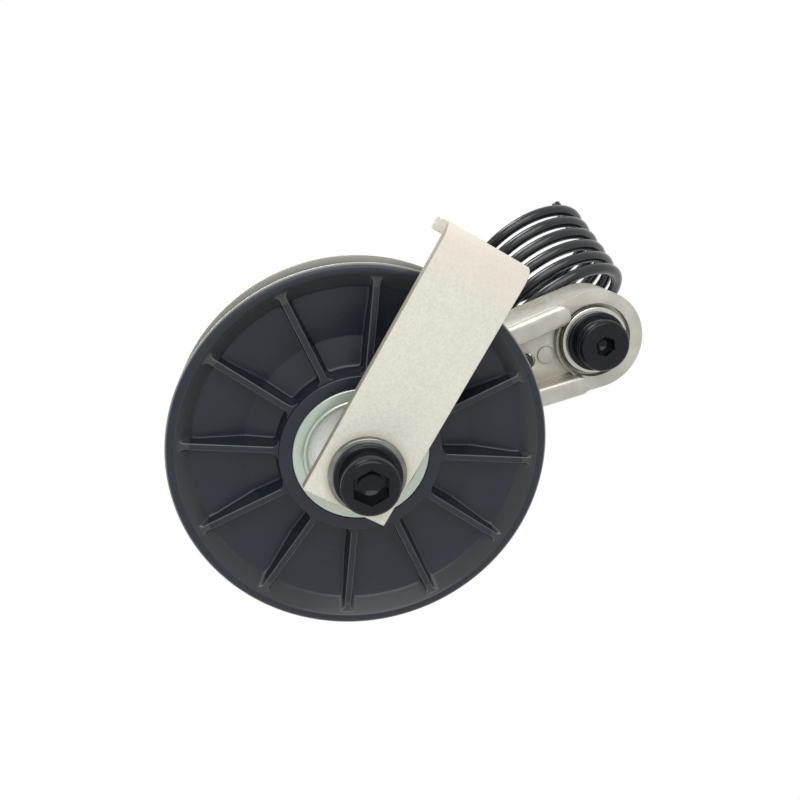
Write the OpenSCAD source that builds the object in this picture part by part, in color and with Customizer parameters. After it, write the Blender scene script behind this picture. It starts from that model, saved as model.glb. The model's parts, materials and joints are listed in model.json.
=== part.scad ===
// Belt tensioner idler: a flanged belt pulley on a swinging arm, with a belt keeper and a torsion spring.
// Millimetres. The pivot axis is the Y axis, and the origin is on it, where the sleeve seats on the machine.
// The machine is at +Y, the front is at -Y and +Z is up.

/* [Pulley] */
// Outer diameter over the belt flanges
pulley_d = 123; // [110:1:148]
// Width over both flanges
pulley_w = 20.6; // [17:0.1:28]
// Height of the flanges above the belt tread
flange_h = 4; // [2:0.5:6]
// Thickness of a flange at its rim
flange_t = 2.4; // [1.8:0.1:3.5]
// Width of the flat lip round each face
lip_w = 3.1; // [2.6:0.1:6]
// Width of the sloping wall inside the lip
rim_slope_w = 4.4; // [3:0.1:7]
// Thickness of the web where it is thinnest
pulley_web_t = 2.4; // [2:0.1:5]
// Height that each face of the web gains from there out to the sloping wall
web_dish = 4.2; // [0:0.1:4.5]
// Outer diameter of the hub collar
hub_d = 53; // [50:0.5:60]
// Diameter where the web starts to rise towards the hub
hub_cone_d = 75; // [64:0.5:76]
// Height of that rise
hub_cone_h = 1; // [0.5:0.1:4.5]
// Number of ribs on each face
rib_count = 12; // [6:1:16]
// Thickness of a rib at its crest
rib_t = 2.2; // [1.6:0.1:3.5]
// Depth of the rib crests below the face
rib_drop = 1.2; // [0.5:0.1:3]
// Turn of the ribs from the X axis
rib_turn = 24.3; // [0:0.1:30]

/* [Bearing] */
// Outer diameter of the bearing
bearing_d = 37; // [35:0.5:40]
// Width of the bearing
bearing_w = 12; // [11:0.5:14]
// Diameter of a ball
ball_d = 7.5; // [6.5:0.1:8]
// Number of balls
ball_count = 7; // [6:1:7]
// Thickness of the sheet-metal shields
shield_t = 0.8; // [0.5:0.1:1]

/* [Hub covers] */
// Outer diameter of the plated ring at each end of the hub
cover_d = 44.5; // [42:0.5:47]
// Diameter of the hole in that ring
cover_hole_d = 34.4; // [30:0.2:35]
// Sheet thickness of that ring
cover_t = 1.5; // [1:0.1:2.5]

/* [Belt keeper] */
// Width of the keeper strip
keeper_w = 28.4; // [24:0.2:34]
// Thickness of the strip
keeper_t = 4; // [3:0.1:5]
// Gap between the rim of the pulley and the bent lip
keeper_clear = 11.5; // [8:0.5:20]
// Length of strip below the pulley axis
keeper_tail = 13.2; // [12.5:0.1:20]
// Depth of the bent lip from the front of the strip
keeper_lip = 21.4; // [16:0.1:26]
// Inside radius of the bend
keeper_bend_r = 1.5; // [1:0.1:4]
// Lean of the strip from the X axis
keeper_angle = 60.5; // [30:0.5:120]
// Sideways shift of the strip from the pulley axis
keeper_shift = 0.9; // [-2:0.1:2]
// Gap between the pulley face and the back of the strip
keeper_standoff = 11.4; // [8:0.1:16]

/* [Arm] */
// Distance between the pulley axis and the pivot axis
arm_len = 91.2; // [88:0.2:120]
// Rise of the arm from the pulley to the pivot
arm_angle = 18.5; // [0:0.5:40]
// Depth of the arm from its back to the front of its ribs
arm_depth = 20.6; // [18:0.1:26]
// Diameter of the boss at the pulley end
pulley_boss_d = 25; // [23:0.5:30]
// Diameter of the boss at the pivot end
pivot_boss_d = 35.8; // [34:0.2:42]
// Thickness of the two edge walls
arm_wall = 7.8; // [4:0.1:8]
// Thickness of the web between the walls
arm_web_t = 5; // [3:0.1:6]
// Height of the ribs above the face of the pivot boss
rib_proud = 3.6; // [1:0.1:5]
// Depth of the web below the face of the pivot boss
web_drop = 3.5; // [2:0.1:5]
// Distance from the pivot axis to the rounded ends of the ribs
rib_stop = 6.2; // [4:0.1:10]
// Gap between the arm and the back of the pulley
arm_gap = 1.8; // [1:0.1:4]
// Diameter of the counterbore round the pivot
recess_d = 26.6; // [25.6:0.2:28]
// Depth of that counterbore
recess_depth = 3; // [2:0.1:3.4]
// Distance from the pivot axis to the hole for the spring's leg
leg_hole_at = 24.5; // [23:0.5:30]
// Diameter of that hole
leg_hole_d = 5.6; // [5:0.1:6.4]

/* [Pivot] */
// Outer diameter of the sleeve in the bushes
sleeve_d = 16; // [15.5:0.1:17]
// Outer diameter of the sleeve behind the arm
sleeve_tail_d = 20; // [18:0.5:22]
// Diameter of the thrust collar on the sleeve
collar_d = 26; // [24:0.5:30]
// Thickness of the thrust collar
collar_t = 3; // [2:0.1:4]
// Distance from the back of the arm to the machine
arm_standoff = 19; // [14:0.5:26]
// Wall of the flanged bushes
bush_t = 1; // [0.8:0.1:1.5]
// Length of each bush in the arm
bush_len = 6; // [4:0.1:6.8]
// Diameter of the bush flanges
bush_flange_d = 24; // [22:0.5:25]

/* [Fasteners] */
// Diameter of both bolts
bolt_d = 12; // [10:0.5:12.4]
// Diameter of the bolt heads
head_d = 18; // [17:0.5:20]
// Height of the bolt heads
head_h = 7.5; // [7:0.1:12]
// Hexagon socket of the pulley bolt, across flats
pulley_key = 10; // [8:0.5:10]
// Hexagon socket of the pivot bolt, across flats
pivot_key = 6; // [5:0.5:10]
// Depth of the sockets
key_depth = 4.2; // [3:0.1:5]
// Length of the pulley bolt under its head
pulley_bolt_len = 80; // [79:0.5:100]
// Length of the pivot bolt under its head
pivot_bolt_len = 55; // [50:0.5:56]
// Outer diameter of the flat washers
washer_d = 24; // [22.5:0.5:25]
// Thickness of the flat washers
washer_t = 2.2; // [1.6:0.1:3]
// Outer diameter of the spring lock washers
lock_d = 21.1; // [20.5:0.1:22]
// Thickness of the spring lock washers
lock_t = 2.5; // [2:0.1:3.5]
// Nut size across flats
nut_af = 18; // [18:0.5:20]
// Height of the nut
nut_h = 10; // [8:0.1:11]
// Outer diameter of the spacers beside the bearing
spacer_d = 18; // [16.5:0.5:19]

/* [Torsion spring] */
// Diameter of the wire
wire_d = 4.4; // [3.4:0.1:4.6]
// Mean diameter of the coil
coil_d = 51.8; // [48:0.2:63]
// Advance of the coil in one turn
coil_pitch = 6.16; // [5.2:0.02:8]
// Lean of the coil from the pivot axis, as it hangs loose on the arm
coil_lean = 46.8; // [30:0.2:50]
// Direction of that lean, turned from +X towards +Z
coil_lean_turn = 116.5; // [90:0.5:140]
// Gap between the back of the arm and the front of the first turn
coil_gap = 0; // [0:0.1:8]
// Sideways place of the middle of the first turn
coil_x = 0.7; // [-3:0.1:3]
// Height of the middle of the first turn above the pivot axis
coil_z = 2.2; // [-1:0.1:4]
// Length of the straight rear leg, which points along the coil
tail_len = 13.4; // [6:0.2:20]

/* [Clearances] */
// Radial running clearance of the bushes on the sleeve
running_gap = 0.05; // [0.02:0.01:0.1]
// Radial clearance of the bolts in what they clamp
bolt_gap = 0.15; // [0.05:0.05:0.3]
// Radial clearance of pressed pieces
press_gap = 0.01; // [0.005:0.005:0.02]
// End play of the arm on the sleeve
end_play = 0.2; // [0.1:0.05:0.5]
// Radial clearance of the balls in the raceways and the cage
ball_gap = 0.06; // [0.03:0.01:0.1]
// Clearance of the shields and the cage from the rings
shield_gap = 0.35; // [0.25:0.05:0.5]
// Gap between the spring's leg and the wall of its hole
leg_gap = 0.05; // [0.02:0.01:0.2]

/* [Hidden] */
$fn = 96;

// Places along Y, from the machine towards the front
arm_back = -arm_standoff;
rib_front = arm_back - arm_depth;
boss_face = rib_front + rib_proud;
recess_floor = boss_face + recess_depth;
sleeve_front = recess_floor - bush_t - end_play;
collar_front = arm_back + bush_t + end_play;
pulley_back = rib_front - arm_gap;
pulley_mid = pulley_back - pulley_w / 2;
pulley_front = pulley_back - pulley_w;
keeper_back = pulley_front - keeper_standoff;
keeper_front = keeper_back - keeper_t;
keeper_reach = pulley_d / 2 + keeper_clear + keeper_t;

// The pulley axis, seen from the front
pulley_x = -arm_len * cos(arm_angle);
pulley_z = -arm_len * sin(arm_angle);

// Radii that more than one piece needs
bore_r = bolt_d / 2 + bolt_gap;
hub_bore_r = bearing_d / 2 + press_gap;
pitch_r = (bearing_d + 2 * bore_r) / 4;
race_r = ball_d / 2 + ball_gap;
inner_land_r = pitch_r - 0.6 * race_r;
outer_land_r = pitch_r + 0.6 * race_r;
shield_seat_r = outer_land_r + 1.2;
shield_set = 0.3;
sleeve_r = sleeve_d / 2;
bush_bore_r = sleeve_r + running_gap;
bush_r = bush_bore_r + bush_t;
edge = 0.8;
overlap = 1;

// Turns a shape drawn along Z to point to the back, on the pivot axis at a place along Y
module along_y(y) {
    translate([0, y, 0]) rotate([-90, 0, 0]) children();
}

// The same on the pulley axis
module on_pulley_axis(y) {
    translate([pulley_x, 0, pulley_z]) along_y(y) children();
}

// The arm's own frame: X from the pulley to the pivot, Y across, Z from the back of the arm to the front
module on_arm() {
    translate([0, arm_back, 0]) rotate([90, 0, 0]) rotate([0, 0, arm_angle]) children();
}

// A plain ring standing on its own end
module ring(outer_r, inner_r, h) {
    difference() {
        cylinder(r = outer_r, h = h);
        translate([0, 0, -overlap]) cylinder(r = inner_r, h = h + 2 * overlap);
    }
}

// A ring with its outer edges broken
module eased_ring(outer_r, inner_r, h, ease) {
    rotate_extrude() polygon([
        [inner_r, 0], [outer_r - ease, 0], [outer_r, ease],
        [outer_r, h - ease], [outer_r - ease, h], [inner_r, h]
    ]);
}

// Half of the pulley's section, from the middle of its width to one face
module pulley_half_section() {
    half_w = pulley_w / 2;
    rim_r = pulley_d / 2;
    tread_r = rim_r - flange_h;
    lip_r = rim_r - lip_w;
    floor_r = lip_r - rim_slope_w;
    cover_seat_r = cover_d / 2 + press_gap;
    cone_top = pulley_web_t / 2 + hub_cone_h;
    floor_h = min(pulley_web_t / 2 + web_dish, half_w - 3 * edge);
    polygon([
        [hub_bore_r, 0], [hub_bore_r, half_w - cover_t],
        [cover_seat_r, half_w - cover_t], [cover_seat_r, half_w],
        [hub_d / 2 - edge, half_w], [hub_d / 2, half_w - edge],
        [hub_d / 2 + edge, cone_top], [hub_cone_d / 2, pulley_web_t / 2],
        [floor_r, floor_h], [lip_r, half_w - edge],
        [lip_r + edge / 2, half_w], [rim_r - edge, half_w],
        [rim_r, half_w - edge], [rim_r, half_w - flange_t + edge / 2],
        [rim_r - edge / 2, half_w - flange_t], [tread_r, half_w - flange_t - edge], [tread_r, 0]
    ]);
    translate([rim_r - edge, half_w - edge]) circle(r = edge);
}

// One tapered rib with a flared root, along X, on the face towards +Z
module pulley_rib() {
    crest = pulley_w / 2 - rib_drop;
    root = pulley_web_t / 2 - overlap;
    rib_in = hub_d / 2 - overlap;
    rib_out = pulley_d / 2 - lip_w - edge;
    draft = 0.6;
    flare = 2.6;
    translate([rib_in, 0, 0]) rotate([90, 0, 90]) linear_extrude(rib_out - rib_in) polygon([
        [-rib_t / 2 - draft, root], [rib_t / 2 + draft, root],
        [rib_t / 2, crest - edge / 2], [rib_t / 2 - edge / 2, crest],
        [-rib_t / 2 + edge / 2, crest], [-rib_t / 2, crest - edge / 2]
    ]);
    translate([rib_in, 0, root]) linear_extrude(crest - edge - root) polygon([
        [0, -rib_t / 2 - flare], [overlap + 0.3, -rib_t / 2 - flare * 0.75],
        [overlap + 1.2, -rib_t / 2 - flare * 0.3], [overlap + flare, -rib_t / 2],
        [overlap + flare, rib_t / 2], [overlap + 1.2, rib_t / 2 + flare * 0.3],
        [overlap + 0.3, rib_t / 2 + flare * 0.75], [0, rib_t / 2 + flare]
    ]);
}

// Moulded pulley with a flat belt tread between two flanges, ribbed on both faces
module pulley() {
    color([0.16, 0.17, 0.19]) on_pulley_axis(pulley_mid) {
        rotate_extrude() {
            pulley_half_section();
            mirror([0, 1]) pulley_half_section();
        }
        for (face = [0, 1], i = [0 : rib_count - 1]) {
            mirror([0, 0, face]) rotate([0, 0, -rib_turn - i * 360 / rib_count]) pulley_rib();
        }
    }
}

// Both bearing rings share one round raceway at the pitch circle
module raceway() {
    rotate_extrude() translate([pitch_r, 0]) circle(r = race_r);
}

module bearing_outer_ring() {
    seat_h = shield_t + shield_set;
    color([0.75, 0.76, 0.78]) on_pulley_axis(pulley_mid) difference() {
        translate([0, 0, -bearing_w / 2]) eased_ring(bearing_d / 2, outer_land_r, bearing_w, edge / 2);
        raceway();
        for (side = [0, 1]) mirror([0, 0, side]) {
            translate([0, 0, bearing_w / 2 - seat_h]) cylinder(r = shield_seat_r, h = seat_h + overlap);
        }
    }
}

module bearing_inner_ring() {
    color([0.75, 0.76, 0.78]) on_pulley_axis(pulley_mid) difference() {
        translate([0, 0, -bearing_w / 2]) eased_ring(inner_land_r, bore_r, bearing_w, edge / 2);
        raceway();
    }
}

module each_ball() {
    for (i = [0 : ball_count - 1]) {
        rotate([0, 0, i * 360 / ball_count]) translate([pitch_r, 0, 0]) children();
    }
}

module bearing_balls() {
    color([0.85, 0.86, 0.88]) on_pulley_axis(pulley_mid) each_ball() sphere(d = ball_d);
}

// Ring between the raceways with a round pocket for each ball
module bearing_cage() {
    cage_h = ball_d + 1.2;
    color([0.55, 0.45, 0.25]) on_pulley_axis(pulley_mid) difference() {
        translate([0, 0, -cage_h / 2]) {
            ring(outer_land_r - shield_gap, inner_land_r + shield_gap, cage_h);
        }
        each_ball() rotate([0, 90, 0]) cylinder(r = race_r + ball_gap, h = pitch_r, center = true);
    }
}

module bearing_shield() {
    color([0.8, 0.81, 0.83]) ring(shield_seat_r - press_gap, inner_land_r + shield_gap, shield_t);
}

module bearing_front_shield() {
    on_pulley_axis(pulley_mid - bearing_w / 2 + shield_set) bearing_shield();
}

module bearing_rear_shield() {
    on_pulley_axis(pulley_mid + bearing_w / 2 - shield_set - shield_t) bearing_shield();
}

// Plated ring that closes the hub, with a drawn collar that holds the bearing; its face is at Z = 0
module hub_cover() {
    collar_h = (pulley_w - bearing_w) / 2;
    hole_r = cover_hole_d / 2;
    lip = 0.4;
    color([0.78, 0.82, 0.78]) rotate_extrude() polygon([
        [hole_r, lip], [hole_r + lip, 0], [cover_d / 2 - lip, 0], [cover_d / 2, lip],
        [cover_d / 2, cover_t], [hub_bore_r - shield_gap, cover_t],
        [hub_bore_r - shield_gap, collar_h], [hole_r, collar_h]
    ]);
}

module hub_front_cover() {
    on_pulley_axis(pulley_front) hub_cover();
}

module hub_rear_cover() {
    on_pulley_axis(pulley_back) mirror([0, 0, 1]) hub_cover();
}

module front_spacer() {
    color([0.72, 0.73, 0.74]) on_pulley_axis(keeper_back) {
        eased_ring(spacer_d / 2, bore_r, pulley_mid - bearing_w / 2 - keeper_back, edge / 2);
    }
}

module rear_spacer() {
    start = pulley_mid + bearing_w / 2;
    color([0.72, 0.73, 0.74]) on_pulley_axis(start) {
        eased_ring(spacer_d / 2, bore_r, rib_front - start, edge / 2);
    }
}

// Bent strip that keeps the belt on the pulley; its section has the reach along X and the depth along Y
module keeper_section() {
    outer_r = keeper_bend_r + keeper_t;
    bend_x = keeper_reach - outer_r;
    translate([-keeper_tail, 0]) square([bend_x + keeper_tail, keeper_t]);
    translate([keeper_reach - keeper_t, outer_r]) square([keeper_t, keeper_lip - outer_r]);
    translate([bend_x, outer_r]) difference() {
        circle(r = outer_r);
        circle(r = keeper_bend_r);
        translate([-2 * outer_r, -2 * outer_r]) square([2 * outer_r, 4 * outer_r]);
        translate([-2 * outer_r, 0]) square([4 * outer_r, 2 * outer_r]);
    }
}

module belt_keeper() {
    color([0.87, 0.86, 0.81]) translate([pulley_x, keeper_front, pulley_z]) rotate([0, -keeper_angle, 0]) {
        difference() {
            translate([0, 0, keeper_shift - keeper_w / 2]) linear_extrude(keeper_w) keeper_section();
            rotate([-90, 0, 0]) translate([0, 0, -overlap]) cylinder(r = bore_r, h = keeper_t + 2 * overlap);
        }
    }
}

module flat_washer() {
    color([0.8, 0.81, 0.78]) eased_ring(washer_d / 2, bore_r, washer_t, 0.3);
}

// Split spring washer, pressed flat
module lock_washer() {
    split = 0.9;
    color([0.12, 0.12, 0.13]) difference() {
        eased_ring(lock_d / 2, bore_r, lock_t, 0.5);
        rotate([0, 0, 60]) translate([bore_r - overlap, 0, lock_t / 2]) rotate([35, 0, 0]) {
            translate([0, -split / 2, -lock_d]) cube([lock_d, split, 2 * lock_d]);
        }
    }
}

// Low socket-head bolt: the shank starts at Z = 0 and the head stands below it
module socket_bolt(len, key, turn) {
    pilot_d = 0.78 * key;
    end_ease = 1;
    color([0.1, 0.1, 0.11]) difference() {
        rotate_extrude() polygon([
            [0, -head_h], [head_d / 2 - edge, -head_h], [head_d / 2, -head_h + edge],
            [head_d / 2, 0], [bolt_d / 2, 0], [bolt_d / 2, len - end_ease],
            [bolt_d / 2 - end_ease, len], [0, len]
        ]);
        translate([0, 0, -head_h - overlap]) rotate([0, 0, turn]) {
            cylinder(d = key / cos(30), h = key_depth + overlap, $fn = 6);
        }
        translate([0, 0, -head_h]) cylinder(d = pilot_d, h = key_depth + 1.8);
    }
}

module pulley_washer() {
    on_pulley_axis(keeper_front - washer_t) flat_washer();
}

module pulley_lock_washer() {
    on_pulley_axis(keeper_front - washer_t - lock_t) lock_washer();
}

module pulley_bolt() {
    on_pulley_axis(keeper_front - washer_t - lock_t) socket_bolt(pulley_bolt_len, pulley_key, 90);
}

module nut_washer() {
    on_pulley_axis(arm_back) flat_washer();
}

// Hexagon nut with both faces chamfered round
module pulley_nut() {
    corner_r = nut_af / 2 / cos(30);
    ease = 1.2;
    color([0.8, 0.81, 0.78]) on_pulley_axis(arm_back + washer_t) difference() {
        intersection() {
            cylinder(r = corner_r, h = nut_h, $fn = 6);
            rotate_extrude() polygon([
                [0, 0], [nut_af / 2, 0], [nut_af / 2 + 2 * ease, ease],
                [nut_af / 2 + 2 * ease, nut_h - ease], [nut_af / 2, nut_h], [0, nut_h]
            ]);
        }
        translate([0, 0, -overlap]) cylinder(r = bolt_d / 2 + press_gap, h = nut_h + 2 * overlap);
    }
}

// Heights in the arm's own frame
boss_z = arm_depth - rib_proud;
web_front_z = boss_z - web_drop;
web_back_z = web_front_z - arm_web_t;
arm_taper = asin((pivot_boss_d - pulley_boss_d) / 2 / arm_len);

// Small step where the front of the casting stands on its back half
cast_step = 0.25;

// Plan of the arm: two bosses and the straight sides that run between them, drawn in by an inset
module arm_plan(inset) {
    small_r = pulley_boss_d / 2 - inset;
    big_r = pivot_boss_d / 2 - inset;
    side_in = 0.04;
    up = [-sin(arm_taper), cos(arm_taper)];
    down = [-sin(arm_taper), -cos(arm_taper)];
    far = [-arm_len, 0];
    circle(r = big_r);
    translate(far) circle(r = small_r);
    polygon([
        (big_r - side_in) * up, far + (small_r - side_in) * up,
        far + (small_r - side_in) * down, (big_r - side_in) * down
    ]);
}

// Plan of the pocket between the walls, which leaves both bosses standing
module pocket_plan() {
    ring_wall = 0.8;
    difference() {
        arm_plan(arm_wall);
        circle(d = recess_d + 2 * ring_wall);
        translate([-arm_len, 0]) circle(d = pulley_boss_d);
    }
}

// The part of an edge wall that stands above the boss face, with a round end and round front edges
module arm_rib() {
    ease = 1.3;
    base = boss_z - 2 * overlap;
    rib_h = arm_depth - base;
    rib_w = arm_wall - 2 * cast_step;
    rib_len = arm_len - rib_stop;
    translate([-arm_len, pivot_boss_d / 2 - arm_wall + cast_step, base]) intersection() {
        rotate([90, 0, 90]) linear_extrude(rib_len) {
            square([rib_w, rib_h - ease]);
            translate([ease, 0]) square([rib_w - 2 * ease, rib_h]);
            translate([ease, rib_h - ease]) circle(r = ease);
            translate([rib_w - ease, rib_h - ease]) circle(r = ease);
        }
        linear_extrude(rib_h) {
            square([rib_len - rib_w / 2, rib_w]);
            translate([rib_len - rib_w / 2, rib_w / 2]) circle(d = rib_w);
        }
    }
}

// Cast arm: a ribbed channel between the pulley boss and the pivot boss
module tensioner_arm() {
    pad_d = 6;
    pad_h = 0.6;
    pad_at = 17.6;
    color([0.76, 0.74, 0.69]) on_arm() {
        difference() {
            union() {
                linear_extrude(boss_z) arm_plan(0);
                for (side = [0, 1]) mirror([0, side, 0]) rotate([0, 0, arm_taper]) arm_rib();
                translate([-arm_len, 0, 0]) cylinder(d = pulley_boss_d - 2 * cast_step, h = arm_depth);
            }
            translate([0, 0, web_front_z]) linear_extrude(arm_depth) pocket_plan();
            translate([0, 0, -overlap]) linear_extrude(web_back_z + overlap) pocket_plan();
            translate([0, 0, boss_z - recess_depth]) cylinder(d = recess_d, h = arm_depth);
            translate([0, 0, -overlap]) cylinder(r = bush_r + press_gap, h = arm_depth);
            translate([-arm_len, 0, -overlap]) cylinder(r = bore_r, h = arm_depth + 2 * overlap);
            translate([-leg_hole_at, 0, 0]) cylinder(d = leg_hole_d, h = arm_depth);
        }
        translate([-pad_at, 0, web_front_z - pad_h]) cylinder(d = pad_d, h = 2 * pad_h);
    }
}

// Flanged plain bush: the flange is below Z = 0
module bush() {
    color([0.62, 0.52, 0.3]) difference() {
        union() {
            cylinder(r = bush_r, h = bush_len);
            translate([0, 0, -bush_t]) cylinder(d = bush_flange_d, h = bush_t);
        }
        translate([0, 0, -bush_t - overlap]) cylinder(r = bush_bore_r, h = bush_len + bush_t + 2 * overlap);
    }
}

module front_bush() {
    along_y(recess_floor) bush();
}

module rear_bush() {
    along_y(arm_back) mirror([0, 0, 1]) bush();
}

// Turned sleeve that the arm swings on, with a thrust collar behind the arm
module pivot_sleeve() {
    collar_back = collar_front + collar_t;
    color([0.7, 0.71, 0.73]) along_y(0) rotate_extrude() polygon([
        [bore_r, sleeve_front], [sleeve_r, sleeve_front], [sleeve_r, collar_front],
        [collar_d / 2, collar_front], [collar_d / 2, collar_back],
        [sleeve_tail_d / 2, collar_back], [sleeve_tail_d / 2, 0], [bore_r, 0]
    ]);
}

module pivot_washer() {
    along_y(sleeve_front - washer_t) flat_washer();
}

module pivot_lock_washer() {
    along_y(sleeve_front - washer_t - lock_t) lock_washer();
}

module pivot_bolt() {
    along_y(sleeve_front - washer_t - lock_t) socket_bolt(pivot_bolt_len, pivot_key, 20);
}

// The coil's own axes: along it, and two across it, the first as near to X as it can be
coil_axis = [
    sin(coil_lean) * cos(coil_lean_turn), cos(coil_lean), sin(coil_lean) * sin(coil_lean_turn)
];
coil_u = unit([1, 0, 0] - coil_axis[0] * coil_axis);
coil_v = cross(coil_axis, coil_u);
coil_set_back = coil_d / 2 * sin(coil_lean) + wire_d / 2 + coil_gap;
coil_mid = [coil_x, arm_back + coil_set_back, coil_z];

// The wire is wound from angle coil_start to coil_end, with a leg bent from it at each end
coil_start = -158;
coil_end = 1786;
steps_per_turn = 8;
wire_sides = 6;
hook_steps = 6;
hook_handle = 4.5;
tail_steps = 3;
tail_bend = 4;

function unit(v) = v / norm(v);

function coil_point(a) =
    coil_mid + coil_pitch * (a + 90) / 360 * coil_axis + coil_d / 2 * (cos(a) * coil_u + sin(a) * coil_v);

// The front leg lies against the upper left of its hole in the arm, and a hook joins it to the first turn
leg_shift = (leg_hole_d - wire_d) / 2 - leg_gap;
leg_x = -leg_hole_at * cos(arm_angle) - leg_shift * cos(45);
leg_z = -leg_hole_at * sin(arm_angle) + leg_shift * sin(45);
leg_tip_y = arm_back - web_front_z - 1;
leg_end_y = arm_back + coil_set_back / 2;
leg_end = [leg_x, leg_end_y, leg_z];
coil_first = coil_point(coil_start);
coil_first_dir = unit(coil_first - coil_point(coil_start + 1));

function bezier(p, q, r, s, t) =
    pow(1 - t, 3) * p + 3 * t * pow(1 - t, 2) * q + 3 * t * t * (1 - t) * r + t * t * t * s;

leg_path = [[leg_x, leg_tip_y, leg_z], [leg_x, (leg_tip_y + leg_end_y) / 2, leg_z]];
hook_path = [for (i = [0 : hook_steps - 1]) bezier(
    leg_end, leg_end + [0, hook_handle, 0],
    coil_first + hook_handle * coil_first_dir, coil_first, i / hook_steps
)];

// Between its two ends the coil has points at whole steps, so that each turn reaches its full width
coil_step = 360 / steps_per_turn;
coil_angles = [for (a = [ceil(coil_start / coil_step) * coil_step : coil_step : coil_end]) a];
coil_path = [for (a = concat([coil_start], coil_angles, [coil_end])) coil_point(a)];

// The rear leg bends from the last turn to the direction of the coil's axis
coil_last = coil_point(coil_end);
coil_last_dir = unit(coil_last - coil_point(coil_end - 1));
tail_start = coil_last + tail_bend * (coil_last_dir + coil_axis);
tail_handle = 0.55 * tail_bend;
tail_path = [for (i = [1 : tail_steps]) bezier(
    coil_last, coil_last + tail_handle * coil_last_dir,
    tail_start - tail_handle * coil_axis, tail_start, i / tail_steps
)];
wire_path = concat(leg_path, hook_path, coil_path, tail_path, [tail_start + tail_len * coil_axis]);

// Least gap of the wire to itself, measured between its points and the middles of its steps
wire_last = len(wire_path) - 1;
gap_points = [for (i = [0 : 2 * wire_last]) (wire_path[floor(i / 2)] + wire_path[ceil(i / 2)]) / 2];
gap_skip = steps_per_turn;
wire_gap = min([for (i = [0 : 2 * wire_last - gap_skip], j = [i + gap_skip : 2 * wire_last])
    norm(gap_points[i] - gap_points[j])]) - wire_d;

// A tube round a path of points, with each ring's first corner away from the coil's axis
module wire_tube(path) {
    last = len(path) - 1;
    dirs = [for (i = [0 : last]) unit(path[min(i + 1, last)] - path[max(i - 1, 0)])];
    spokes = [for (p = path) (p - coil_mid) - ((p - coil_mid) * coil_axis) * coil_axis];
    side_a = [for (i = [0 : last]) unit(spokes[i] - (spokes[i] * dirs[i]) * dirs[i])];
    side_b = [for (i = [0 : last]) cross(dirs[i], side_a[i])];
    corner_turn = 360 / wire_sides;
    corners = [for (i = [0 : last], k = [0 : wire_sides - 1])
        path[i] + wire_d / 2 * (cos(k * corner_turn) * side_a[i] + sin(k * corner_turn) * side_b[i])];
    walls = [for (i = [0 : last - 1], k = [0 : wire_sides - 1], half = [0, 1])
        let (n = (k + 1) % wire_sides, a = i * wire_sides, b = a + wire_sides)
        half == 0 ? [a + k, b + k, b + n] : [a + k, b + n, a + n]];
    start_cap = [for (k = [1 : wire_sides - 2]) [0, k, k + 1]];
    end_cap = [for (k = [1 : wire_sides - 2]) [0, k + 1, k] + last * wire_sides * [1, 1, 1]];
    polyhedron(points = corners, faces = concat(walls, start_cap, end_cap));
}

module torsion_spring() {
    echo(least_wire_gap = wire_gap);
    color([0.08, 0.08, 0.09]) wire_tube(wire_path);
}

pulley();
bearing_outer_ring();
bearing_inner_ring();
bearing_balls();
bearing_cage();
bearing_front_shield();
bearing_rear_shield();
hub_front_cover();
hub_rear_cover();
front_spacer();
rear_spacer();
belt_keeper();
pulley_washer();
pulley_lock_washer();
pulley_bolt();
nut_washer();
pulley_nut();
tensioner_arm();
front_bush();
rear_bush();
pivot_sleeve();
pivot_washer();
pivot_lock_washer();
pivot_bolt();
torsion_spring();
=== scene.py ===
"""Looks of the belt tensioner idler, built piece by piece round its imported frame."""

import json
import math

import bpy
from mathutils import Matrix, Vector


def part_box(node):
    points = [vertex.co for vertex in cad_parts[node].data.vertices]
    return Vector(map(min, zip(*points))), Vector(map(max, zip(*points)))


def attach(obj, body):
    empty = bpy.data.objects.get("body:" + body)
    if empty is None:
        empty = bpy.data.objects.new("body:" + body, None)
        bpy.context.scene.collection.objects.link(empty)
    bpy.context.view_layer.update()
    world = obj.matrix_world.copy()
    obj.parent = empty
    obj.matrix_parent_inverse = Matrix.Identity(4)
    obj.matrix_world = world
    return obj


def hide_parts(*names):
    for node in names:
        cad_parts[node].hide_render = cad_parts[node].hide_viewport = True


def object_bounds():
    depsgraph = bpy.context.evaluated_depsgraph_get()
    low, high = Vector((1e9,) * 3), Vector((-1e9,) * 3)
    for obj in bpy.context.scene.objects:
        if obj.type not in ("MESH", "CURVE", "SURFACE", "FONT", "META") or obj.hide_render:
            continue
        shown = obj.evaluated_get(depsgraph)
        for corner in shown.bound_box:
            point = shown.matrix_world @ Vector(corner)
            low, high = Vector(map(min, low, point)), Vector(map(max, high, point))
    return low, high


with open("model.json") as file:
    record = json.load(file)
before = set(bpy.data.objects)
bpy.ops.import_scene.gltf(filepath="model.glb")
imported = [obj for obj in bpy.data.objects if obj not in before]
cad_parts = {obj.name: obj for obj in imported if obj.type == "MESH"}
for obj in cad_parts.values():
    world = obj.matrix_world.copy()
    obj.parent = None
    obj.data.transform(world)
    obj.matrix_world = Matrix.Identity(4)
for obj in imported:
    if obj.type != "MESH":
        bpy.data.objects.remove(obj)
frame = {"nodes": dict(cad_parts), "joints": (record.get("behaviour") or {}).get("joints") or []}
cad_low, cad_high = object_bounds()

# Pivot sleeve: a turned steel tube with a thrust collar, clamped to the machine by the pivot bolt.
# It is spun from its section and ground where the arm swings on it.
mm = 0.001
weld = 0.002 * mm
pivot_axis = (0.0, 0.0)
bore_r = 6.15
sleeve_r, collar_r, sleeve_tail_r = 8.0, 13.0, 10.0
collar_front, collar_back, sleeve_len = 16.4, 19.4, 34.2


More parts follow.
